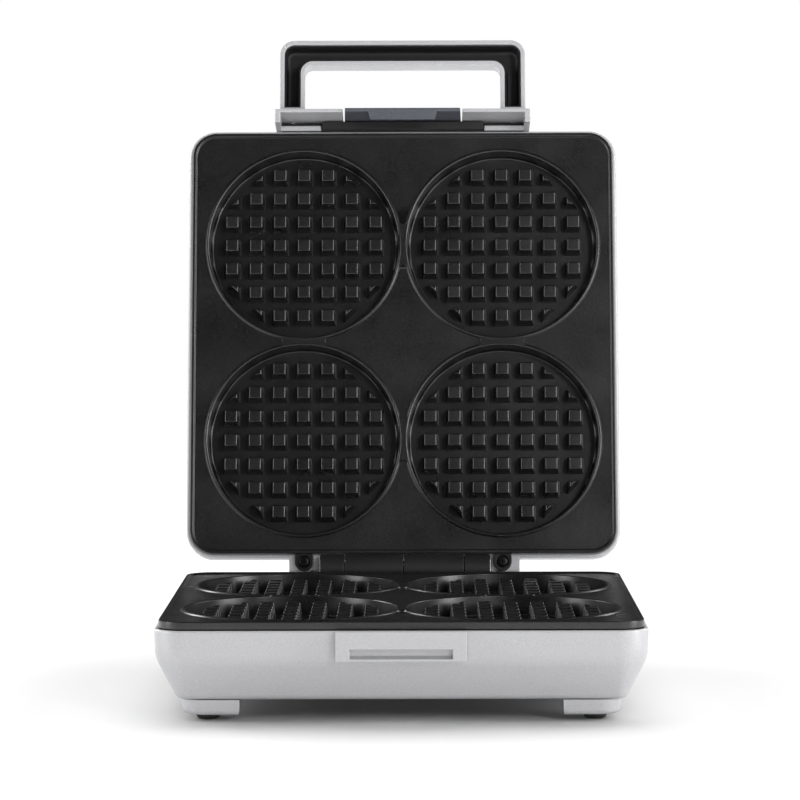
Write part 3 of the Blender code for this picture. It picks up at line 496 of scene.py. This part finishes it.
def studs(half):
    """All of one well's studs, round the well's own middle."""
    spread = (STUD_FOOT - STUD_TOP) / 2 * (1 + STUD_ROOT / (WELL_DEPTH - STUD_TOP_DEPTH))
    foot_side = STUD_TOP + 2 * spread
    foot_leg = PART_STUD_LEG + spread * (2 + math.sqrt(2))
    whole = stud(half, square(STUD_TOP), square(foot_side))
    parts = {}
    for signs in ((-1, -1), (-1, 1), (1, -1), (1, 1)):
        top = corner_triangle(*signs, STUD_TOP / 2, PART_STUD_LEG)
        parts[signs] = stud(half, top, corner_triangle(*signs, foot_side / 2, foot_leg))
    bm = bmesh.new()
    for row in range(-3, 4):
        last = FULL_STUDS[abs(row)]
        for column in range(-last, last + 1):
            add_moved(bm, whole, half.at(column * STUD_PITCH, row * STUD_PITCH, 0))
        for sign in (-1, 1):
            if abs(row) in PART_STUDS:
                place = half.at(sign * PART_STUDS[abs(row)] * STUD_PITCH, row * STUD_PITCH, 0)
                add_moved(bm, parts[sign, 1 if row > 0 else -1], place)
    return finished(bm)


def add_moved(bm, mesh, offset):
    before = len(bm.verts)
    bm.from_mesh(mesh)
    bm.verts.ensure_lookup_table()
    bmesh.ops.translate(bm, verts=bm.verts[before:], vec=offset)


def moved(mesh, offset):
    copy = mesh.copy()
    copy.transform(Matrix.Translation(offset))
    return copy


def well(half):
    """A dish with a raised round rim, drafted wall and studded floor, round its own middle."""
    wall = [(WELL_MOUTH - 0.15, 0.75), (WELL_FLOOR, WELL_DEPTH), (WELL_FLOOR - 6, WELL_DEPTH)]
    profile = [
        (55.5, WELL_BACK_DEPTH), (59.5, 3.4), (58.6, 2.6), (57.6, LAND_DEPTH + 0.35),
        (57.05, LAND_DEPTH - 0.1), (56.75, 0.75), (56.5, 0.4), (56.15, RIM_DEPTH + 0.03),
        (55.8, RIM_DEPTH), (55.45, RIM_DEPTH + 0.05), (55.1, 0.42), *filleted(wall, (1.3,), 6),
    ]
    dish = turned(half, profile, along_depth(0, 0), WELL_STEPS)
    return union(dish, studs(half))


def bridge(half, middle, way):
    """The web where two rims nearly touch, its ends hollowed by the narrowing land."""
    long, wide = BRIDGE_LENGTH / 2, BRIDGE_HALF
    size = [long if along else wide for along in way]
    x, reach = ((m - s, m + s) for m, s in zip(middle, size))
    web = box(half, x, reach, (RIM_DEPTH + 0.12, 3.2))
    ends = []
    for sign in (-1, 1):
        place = [m + sign * (long + 0.7) * along for m, along in zip(middle, way)]
        profile = ((2.9, RIM_DEPTH - 0.2), (2.45, 0.45), (2.1, LAND_DEPTH), (2.1, 4.0))
        ends.append(turned(half, profile, along_depth(*place), 32))
    return minus(web, *ends)


def ear(half, x):
    """A screw lug at the plate's rear edge. Its hole, sunk for the screw's head, is cut later with the plate."""
    end = rod(half, EAR_RADIUS, EAR_DEPTH, along_depth(x, EAR_REACH), 0.4)
    sides = (x - EAR_RADIUS, x + EAR_RADIUS)
    return union(end, box(half, sides, (EAR_REACH, PLATE_REAR + 1.5), EAR_DEPTH, 0.35))


def plate_mesh(half):
    """The whole casting. It is the same for both halves."""
    bead = (
        (LIP_DEPTH, 2.6), (SLAB_DEPTH, 2.6), (SLAB_DEPTH, 0.5), (4.1, 0.12), (3.8, 0.0), (0.8, 0.0),
        (0.45, 0.08), (RIM_DEPTH + 0.05, 0.35), (RIM_DEPTH, 0.6), (RIM_DEPTH, 1.5),
        (RIM_DEPTH + 0.08, 1.8), (0.55, 2.1), (LAND_DEPTH - 0.25, BEAD_WIDTH + 0.1), (LAND_DEPTH, 2.7),
    )
    slab = stack(
        half,
        lambda inset: rounded_rectangle(PLATE.x[1], PLATE_REAR, PLATE.reach[1], PLATE_CORNER, inset),
        bead,
    )
    offsets = (-WELL_OFFSET, WELL_OFFSET)
    middles = [(x, PLATE_MIDDLE + y) for x in offsets for y in offsets]
    holes = [
        rod(half, WELL_RIM - 0.5, (-2, 20), along_depth(*middle), steps=WELL_STEPS) for middle in middles
    ]
    dish = well(half)
    dishes = [moved(dish, half.at(*middle, 0)) for middle in middles]
    bridges = []
    for step in offsets:
        bridges.append(bridge(half, (0, PLATE_MIDDLE + step), (0, 1)))
        bridges.append(bridge(half, (step, PLATE_MIDDLE), (1, 0)))
    ears = [ear(half, x) for x in (-EAR_X, EAR_X)]
    plate = union(minus(slab, *holes), *dishes, *bridges, *ears)
    sinks = []
    for x in (-EAR_X, EAR_X):
        profile = ((4.1, 0.9), (3.6, 1.5), (3.6, 2.8), (1.9, 2.8), (1.9, 6.0))
        sinks.append(turned(half, profile, along_depth(x, EAR_REACH)))
    return minus(plate, *sinks)


def plates():
    """One casting, shown twice: the lower one is the upper one turned over."""
    upper = plate_mesh(LID)
    lower = upper.copy()
    names = [f"well_{corner}" for corner in CORNERS]
    piece("upper_baking_plate", upper, LID, "non_stick", ["upper_plate", *("upper_" + n for n in names)])
    turned_over = Matrix.Translation(HINGE) @ Matrix.Rotation(math.pi, 4, "Y")
    piece("lower_baking_plate", lower, BASE, "non_stick",
          ["lower_plate", *("lower_" + n for n in names)], matrix=turned_over)


def ear_screws():
    """Dark pan-head screws with a cross recess."""
    for prefix, half in (("lower", BASE), ("upper", LID)):
        for tag, x in (("left", -EAR_X), ("right", EAR_X)):
            profile = (
                (1.5, 10.0), (1.5, 2.62), (3.1, 2.62), (3.1, 2.2), (2.9, 1.8), (2.4, 1.5), (1.4, 1.4),
            )
            head = turned(half, profile, along_depth(x, EAR_REACH), 40)
            arms = ((CROSS_WIDE, CROSS_LONG), (CROSS_LONG, CROSS_WIDE))
            slots = [cross_slot(half, x, *arm) for arm in arms]
            name = f"{prefix}_plate_screw_{tag}"
            piece(name + "_cross", minus(head, *slots), half, "black_steel", [name])


def cross_slot(half, x, wide, long):
    """One arm of a screw's cross recess, narrower at its floor."""
    points = []
    for depth, share in ((0.9, 1.0), (2.3, 0.62)):
        for sx in (-wide * share, wide * share):
            for sy in (-long * share, long * share):
                points.append(half.at(x + sx, EAR_REACH + sy, depth))
    return hull(points)


# Casings and hinge

def casing_outline(inset):
    return rounded_rectangle(CASING_HALF, *CASING_REACH, CASING_CORNER, inset)


def casing_mesh(half, lug_tail):
    """A painted shell with a soft shoulder, and the lugs under the plate's ears."""
    outside = filleted(CASING_OUTSIDE, CASING_ROUNDS, 8)
    edge = CASING_DEPTH[0]
    lip = [(edge + 0.5, CASING_WALL), (edge + 0.1, CASING_WALL - 0.3), (edge, CASING_WALL - 0.8)]
    lip += [(edge, 1.2), (edge + 0.12, 0.75), (edge + 0.45, 0.3)]
    inside = [(depth - CASING_WALL, inset + CASING_WALL) for depth, inset in outside if depth > edge + 6]
    profile = inside[::-1] + lip + [(edge + 1.1, 0.04)] + outside[1:]
    shell = stack(half, casing_outline, profile)
    for x in LUGS:
        lug = box(half, x, (-lug_tail, CASING_REACH[0] + 1.7), (edge, LUG_FAR), 0.8)
        shell = union(shell, lug)
    ends = (LUGS[0][1] + 0.1, LUGS[1][0] - 0.1)
    return minus(shell, rod(half, NOTCH_RADIUS, ends, along_x(0, 0)))


def base_casing():
    """The tub, with cooling slots and deep-set screw holes underneath."""
    tub = casing_mesh(BASE, BASE_LUG_TAIL)
    cuts = [rod(BASE, GLAND_RADIUS, GLAND_SPAN, along_reach(GLAND_X, GLAND_DEPTH), steps=40)]
    bottom = CASING_DEPTH[1]
    for side in (-1, 1):
        for i in range(VENT_COUNT):
            x = side * (VENT_FIRST + VENT_PITCH * i)
            sides = (x - VENT_HALF, x + VENT_HALF)
            cuts.append(box(BASE, sides, VENT_REACH, (bottom - 8, bottom + 5), 1.3, 4))
    profile = ((4.2, bottom + 1), (3.8, bottom - 0.4), (3.8, bottom - 2.0))
    for reach in CASE_SCREW_REACH:
        for x in (-CASE_SCREW_X, CASE_SCREW_X):
            cuts.append(turned(BASE, profile, along_depth(x, reach)))
    piece("painted_tub", minus(tub, *cuts), BASE, "silver_paint", ["base_casing"])


def lid_casing():
    """The cover, with a shallow groove round its outer face and two lamp holes."""
    cover = casing_mesh(LID, LID_LUG_TAIL)
    groove = ring_cutter(LID, GROOVE_INSET, GROOVE_WIDTH, CASING_DEPTH[1])
    places = [along_depth(x, LAMP_REACH) for x in (-LAMP_X, LAMP_X)]
    holes = [rod(LID, LAMP_HOLE, (30, 45), place, steps=40) for place in places]
    piece("painted_cover", minus(cover, groove, *holes), LID, "silver_paint", ["lid_casing"])


def ring_cutter(half, inset, width, top):
    """A rounded groove that follows the casing's outline at an inset."""
    section = [(top + 1, inset - width / 2), (top - 0.3, inset - width / 3), (top - 0.7, inset),
               (top - 0.3, inset + width / 3), (top + 1, inset + width / 2)]
    rings = [[(x, reach, depth) for x, reach in casing_outline(step)] for depth, step in section]
    return loft(half, rings, closed=True)


def knuckles(name, half, spans):
    """Barrels on a leaf, as one black moulding."""
    node = half.extent(name)
    leaf = box(half, node.x, (4.2, 6.6), (9.0, 17.0), 0.5)
    parts = []
    for low, high in spans:
        parts.append(box(half, (low, high), (2.0, 6.6), (3.0, 9.8), 0.4))
        parts.append(rod(half, KNUCKLE_RADIUS, (low, high), along_x(0, 0), 0.5, 56))
    bore = rod(half, PIN_BORE, (node.x[0] - 2, node.x[1] + 2), along_x(0, 0), steps=32)
    places = [along_reach(x, HINGE_SCREW_DEPTH) for x in screw_places(half)]
    holes = [rod(half, 1.9, (3, 8), place, steps=24) for place in places]
    piece(name.replace("bracket", "knuckles"), minus(union(leaf, *parts), bore, *holes), half,
          "black_plastic", [name])


def screw_places(half):
    """Where a hinge leaf's two screws are, along the hinge."""
    prefix = half.body
    return [sum(half.extent(f"{prefix}_hinge_screw_{i}").x) / 2 for i in (1, 2)]


def hinge():
    knuckles("base_hinge_bracket", BASE, BASE_KNUCKLES)
    knuckles("lid_hinge_bracket", LID, LID_KNUCKLES)
    pin = BASE.extent("hinge_pin")
    piece("hinge_pin_ground", rod(BASE, pin.depth[1], pin.x, along_x(0, 0), 0.6, 32), BASE, "steel",
          ["hinge_pin"])


# Base

def feet():
    """Painted corner blocks with drafted sides, and the rubber domes under them."""
    for corner in CORNERS:
        block_node, rubber_node = f"foot_block_{corner}", f"rubber_foot_{corner}"
        block, dome = BASE.extent(block_node), BASE.extent(rubber_node)
        sign = 1 if block.x[0] > 0 else -1
        inner, outer = sorted(abs(x) for x in block.x)
        low, high = block.reach

        def outline(inset, front=corner.startswith("front")):
            """A rectangle whose outer corner is round."""
            big = 11.0 - inset * 0.4
            a, b = inner + inset * 0.3, outer - inset
            near, far = (low + inset * 0.3, high - inset) if front else (high - inset * 0.3, low + inset)
            way = 1 if front else -1
            points = [(a, near), (b, near)]
            points += arc(b - big, far - way * big, big, 0, 90 * way, 12)
            points.append((a, far))
            return [(sign * x, reach) for x, reach in points]

        top, tip = block.depth[1], dome.depth[1]
        profile = (
            (block.depth[0], 0.0), (top - 2.6, 0.5), (top - 1.2, 1.0), (top - 0.4, 1.9), (top, 3.2),
        )
        middle = along_depth(sum(dome.x) / 2, sum(dome.reach) / 2)
        hole = rod(BASE, 2.8, (top - 6, top + 2), middle, steps=32)
        body = minus(stack(BASE, outline, profile), hole)
        piece(f"painted_{block_node}", body, BASE, "silver_paint", [block_node])
        rise = tip - top
        radius = (dome.x[1] - dome.x[0]) / 2
        shape = (
            (2.2, top - 5.0), (2.4, top - 0.3), (radius, top + 0.3), (radius, top + rise * 0.45),
            (radius * 0.96, top + rise * 0.66), (radius * 0.86, top + rise * 0.85),
            (radius * 0.70, top + rise * 0.96), (radius * 0.50, tip), (radius * 0.2, tip),
        )
        piece(f"domed_{rubber_node}", turned(BASE, shape, middle, 40), BASE, "rubber", [rubber_node])


def catch():
    """The block that the latch hooks into, with its sloping pocket."""
    block = box(BASE, CATCH.x, CATCH.reach, CATCH.depth)
    front = CATCH.reach[1] + 1
    section = (
        (POCKET_BACK, POCKET_NEAR), (front, POCKET_NEAR), (front, POCKET_LIP), (POCKET_BACK, POCKET_FAR),
    )
    points = [BASE.at(x, *place) for x in (-POCKET_HALF, POCKET_HALF) for place in section]
    block = bevelled(minus(block, hull(points)), 0.35, 3)
    piece("catch_block", block, BASE, "silver_paint", ["latch_catch"])


def gland():
    """The cord's inlet: a rubber collar with a flange."""
    node = BASE.extent("cord_gland")
    x, depth = sum(node.x) / 2, sum(node.depth) / 2
    face, back = node.reach
    profile = (
        (3.3, face + 0.3), (3.6, face), (5.8, face), (6.6, face + 0.25), (7.0, face + 0.9),
        (7.0, face + 2.2), (5.2, face + 2.2), (5.2, back - 1.7), (6.6, back - 1.7), (6.6, back),
        (3.3, back),
    )
    piece("cord_inlet", turned(BASE, profile, along_reach(x, depth), 40, closed=True), BASE, "rubber",
          ["cord_gland"])


# Handle, hood and latch

def handle_outline(inset, foot):
    """The U in x and reach, drawn in by inset on every side."""
    outer, inner = HANDLE.x[1] - inset, HANDLE_OPENING_HALF + inset
    tip, opening = HANDLE.reach[1] - inset, HANDLE_OPENING_TIP + inset
    r, s = HANDLE_CORNER - inset, HANDLE_OPENING_CORNER + inset
    right = [(outer, foot), *arc(outer - r, tip - r, r, 0, 90, 12)]
    left = [(-x, reach) for x, reach in reversed(right)]
    inside = [(-inner, foot), *arc(-inner + s, opening - s, s, 180, -90, 12)]
    return right + left + inside + [(-x, reach) for x, reach in reversed(inside)]


def handle():
    """A painted channel with a black liner sunk in it."""
    foot, channel_foot = HANDLE.reach[0], HANDLE.reach[0] + 4.7
    near, far = HANDLE.depth
    wall = HANDLE_WALL

    def ring(depth, inset, foot_reach):
        return [(x, reach, depth) for x, reach in handle_outline(inset, foot_reach)]

    step = 0.35
    outside = [(near, 0.45), (near + 0.12, 0.15), (near + 0.4, 0.0), (near + 1.0, 0.0), (near + 1.1, step),
               (far - 1.4, step), (far - 0.6, step + 0.2), (far - 0.15, step + 0.7), (far, step + 1.3)]
    inside = [(near, wall - 0.45), (near + 0.15, wall - 0.15), (near + 0.5, wall), (far - wall, wall)]
    rings = [ring(depth, inset, channel_foot) for depth, inset in reversed(inside)]
    rings += [ring(depth, inset, foot) for depth, inset in outside]
    piece("handle_channel", loft(LID, rings), LID, "silver_paint", ["handle_frame"])
    liner = LID.extent("handle_liner")
    outer, thick, curve = wall + 0.3, 0.8, 2.3
    top, bottom = liner.depth
    foot = liner.reach[0]
    rings = []
    for i in range(7):
        angle = math.pi / 2 * i / 6
        inset = thick + curve * (1 - math.sin(angle))
        rings.append(ring(bottom - thick - curve * (1 - math.cos(angle)), outer + inset, foot + inset))
    rings.append(ring(top + 0.3, outer + thick, foot + thick))
    rings.append(ring(top, outer + thick - 0.2, foot + thick - 0.2))
    rings += [ring(top, outer + 0.2, foot + 0.2), ring(top + 0.2, outer, foot), ring(bottom, outer, foot)]
    piece("handle_channel_liner", loft(LID, rings), LID, "black_plastic", ["handle_liner"])


def hood():
    """The painted hood in front of the lid, with its tabs and the lever's cut-out."""
    inner = HOOD.x[1] - HOOD_SIDE
    shell = box(LID, HOOD.x, HOOD.reach, HOOD.depth)
    hollow = box(LID, (-inner, inner), (250, HOOD.reach[1] - HOOD_WALL), (-30, HOOD.depth[1] - 2))
    window = box(LID, (-HOOD_WINDOW_HALF, HOOD_WINDOW_HALF), (262, 270), (-30, HOOD_WINDOW_TOP))
    shell = bevelled(minus(shell, hollow, window), 0.45, 3)
    tabs = []
    for x in ((-inner - 1, -TAB_INNER), (TAB_INNER, inner + 1)):
        tabs.append(box(LID, x, (HOOD.reach[0], 262.0), (CASING_DEPTH[0], 6.6), 0.7))
    piece("painted_hood", union(shell, *tabs), LID, "silver_paint", ["latch_hood"])


def carrier():
    """The black trough that holds the lever's pin."""
    node = LID.extent("latch_carrier")
    block = box(LID, node.x, node.reach, (CARRIER_SIDE_NEAR, node.depth[1]), 0.5)
    sides = (-CARRIER_HALF, CARRIER_HALF)
    middle = box(LID, sides, node.reach, (node.depth[0], CARRIER_SIDE_NEAR + 1), 0.4)
    sides = (-CARRIER_SLOT_HALF, CARRIER_SLOT_HALF)
    slot = box(LID, sides, (LATCH_REACH - 2.7, 270), (node.depth[0] + 0.8, HOOD_WINDOW_TOP))
    bore = rod(LID, PIN_RADIUS, (-38.5, 38.5), along_x(LATCH_REACH, LATCH_DEPTH), steps=24)
    piece("lever_carrier", minus(union(block, middle), slot, bore), LID, "black_plastic", ["latch_carrier"])


def lever():
    """The blue-grey lever: a tapering plate with a hooked tooth, and barrels on the pin."""
    node = LID.extent("latch_lever")
    back, face = LEVER_BACK, node.reach[1]
    ends = ((LEVER_HALF_TIP, node.depth[0]), (LEVER_HALF_ROOT, node.depth[1]))
    points = [LID.at(s * x, reach, depth) for s in (-1, 1) for reach in (back, face) for x, depth in ends]
    plate = hull(points, 0.5, 3)
    hook = (
        (TOOTH_HALF_NEAR, back + 1, -14.0), (TOOTH_HALF_FAR, node.reach[0], -14.0),
        (TOOTH_HALF_FAR, node.reach[0], -16.1), (TOOTH_HALF_NEAR, back + 1, -16.4),
    )
    tooth = hull([LID.at(s * x, reach, depth) for s in (-1, 1) for x, reach, depth in hook], 0.3, 2)
    place = along_x(LATCH_REACH, LATCH_DEPTH)
    barrels = [rod(LID, BARREL_RADIUS, ends, place, 0.3, 32) for ends in BARRELS]
    mesh = minus(union(plate, tooth, *barrels), rod(LID, PIN_RADIUS, (-40, 40), place, steps=24))
    piece("latch_lever_moulding", mesh, LID, "latch_plastic", ["latch_lever"], body="latch")


def lamps():
    """Domed lenses, seen on the lid's outer face."""
    for tag, slot in (("power", "red_lens"), ("ready", "green_lens")):
        node = LID.extent(f"lamp_lens_{tag}")
        x, reach = sum(node.x) / 2, sum(node.reach) / 2
        low, high = node.depth
        profile = (
            (5.6, low), (5.6, low + 2.0), (4.0, low + 2.0), (4.0, high - 0.7), (3.8, high - 0.4),
            (3.2, high - 0.15), (2.0, high - 0.03), (0.8, high),
        )
        piece(f"lamp_dome_{tag}", turned(LID, profile, along_depth(x, reach), 40), LID, slot,
              [f"lamp_lens_{tag}"])


def repaint_packed_nodes():
    """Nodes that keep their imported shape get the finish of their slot."""
    slots = {part["node"]: part["material_slot"] for part in frame["record"]["subparts"]}
    for name, obj in frame["nodes"].items():
        for place in obj.material_slots:
            place.material = MATERIALS[slots[name]]


# Surroundings

LIGHT_TARGET = Vector((0, 0, 0.2))
CAMERA_FROM_HINGE = Vector((0.0090, -2.0311, 0.2053))
CAMERA_TURN = (0.3, -3.06, 0.14)  # yaw, pitch and roll in degrees


def floor():
    """A pale table with painted shade: its colour is grey near the machine and whitest far from it."""
    painted_shade_grey, white = (0.64, 0.64, 0.64), (0.98, 0.98, 0.98)
    made = material("floor", white, 0.6, 0.0, 0.2)
    # painted shade: the floor's colour darkens from white far out to grey near the machine
    drive(made, "Base Color", ramp(made, distance(made, 0.35, 1.0), (0.0, painted_shade_grey), (1.0, white)))
    bpy.ops.mesh.primitive_plane_add(size=50, location=(0, 0, 0))
    plane = bpy.context.object
    plane.name = "floor"
    plane.data.materials.append(made)


def lights():
    """Soft light from above and behind, a low fill from the front and boxes round the sides."""
    sky = bpy.data.lights.new("overhead", "SUN")
    sky.energy = 4.0
    sky.angle = math.radians(70)
    lamp = bpy.data.objects.new("overhead", sky)
    lamp.visible_glossy = False
    lamp.rotation_euler = Vector((0.05, 0.5, 0.86)).to_track_quat("Z", "Y").to_euler()
    bpy.context.scene.collection.objects.link(lamp)
    fill = softbox("front", (0.1, -2.6, 0.12), (1.6, 0.24), 24.0)
    fill.visible_glossy = False
    softbox("key", (1.05, -1.9, 0.9), (0.4, 0.6), 13.0)
    softbox("right", (1.25, -0.45, 0.50), (0.5, 1.0), 13.0)
    softbox("left", (-1.25, -0.40, 0.50), (0.5, 1.0), 9.0)
    softbox("right_rim", (1.4, 0.9, 0.75), (0.7, 0.6), 8.0)
    softbox("left_rim", (-1.4, 0.9, 0.75), (0.7, 0.6), 17.0)


def distance(made, near, far):
    """How far out on the floor a point is, from nothing at near to one at far, in metres."""
    tree = made.node_tree
    place = tree.nodes.new("ShaderNodeTexCoord")
    length = tree.nodes.new("ShaderNodeVectorMath")
    length.operation = "LENGTH"
    share = tree.nodes.new("ShaderNodeMapRange")
    share.inputs["From Min"].default_value = near
    share.inputs["From Max"].default_value = far
    tree.links.new(place.outputs["Object"], length.inputs[0])
    tree.links.new(length.outputs["Value"], share.inputs["Value"])
    return share.outputs["Result"]


def softbox(name, place, size, power):
    """A rectangular lamp that faces the machine's middle."""
    data = bpy.data.lights.new(name, "AREA")
    data.shape = "RECTANGLE"
    data.size, data.size_y = size
    data.energy = power
    lamp = bpy.data.objects.new(name, data)
    lamp.location = place
    lamp.rotation_euler = (lamp.location - LIGHT_TARGET).to_track_quat("Z", "Y").to_euler()
    bpy.context.scene.collection.objects.link(lamp)
    return lamp


def studio():
    """A dim room that shows as plain white behind the machine."""
    world = bpy.data.worlds.new("studio")
    world.use_nodes = True
    tree = world.node_tree
    room = tree.nodes["Background"]
    room.inputs["Color"].default_value = (1.0, 1.0, 1.0, 1.0)
    room.inputs["Strength"].default_value = 0.05
    white = tree.nodes.new("ShaderNodeBackground")
    white.inputs["Color"].default_value = (1.0, 1.0, 1.0, 1.0)
    path = tree.nodes.new("ShaderNodeLightPath")
    mix = tree.nodes.new("ShaderNodeMixShader")
    tree.links.new(path.outputs["Is Camera Ray"], mix.inputs["Fac"])
    tree.links.new(room.outputs["Background"], mix.inputs[1])
    tree.links.new(white.outputs["Background"], mix.inputs[2])
    tree.links.new(mix.outputs["Shader"], tree.nodes["World Output"].inputs["Surface"])
    bpy.context.scene.world = world


def camera():
    """A long lens a little above the machine's middle, level with the hinge side."""
    data = bpy.data.cameras.new("camera")
    data.lens = 161.1
    data.sensor_width = 36.0
    data.clip_end = 100.0
    obj = bpy.data.objects.new("camera", data)
    yaw, pitch, roll = (math.radians(angle) for angle in CAMERA_TURN)
    turn = Matrix.Rotation(yaw, 4, "Z") @ Matrix.Rotation(pitch, 4, "X") @ Matrix.Rotation(roll, 4, "Y")
    look_ahead = Matrix.Rotation(math.pi / 2, 4, "X")
    obj.matrix_world = Matrix.Translation(HINGE + CAMERA_FROM_HINGE) @ turn @ look_ahead
    bpy.context.scene.collection.objects.link(obj)
    bpy.context.scene.camera = obj


bpy.context.scene.view_settings.view_transform = "Standard"
camera()
floor()
studio()
lights()
repaint_packed_nodes()
plates()
ear_screws()
base_casing()
lid_casing()
hinge()
feet()
catch()
gland()
handle()
hood()
carrier()
lever()
lamps()
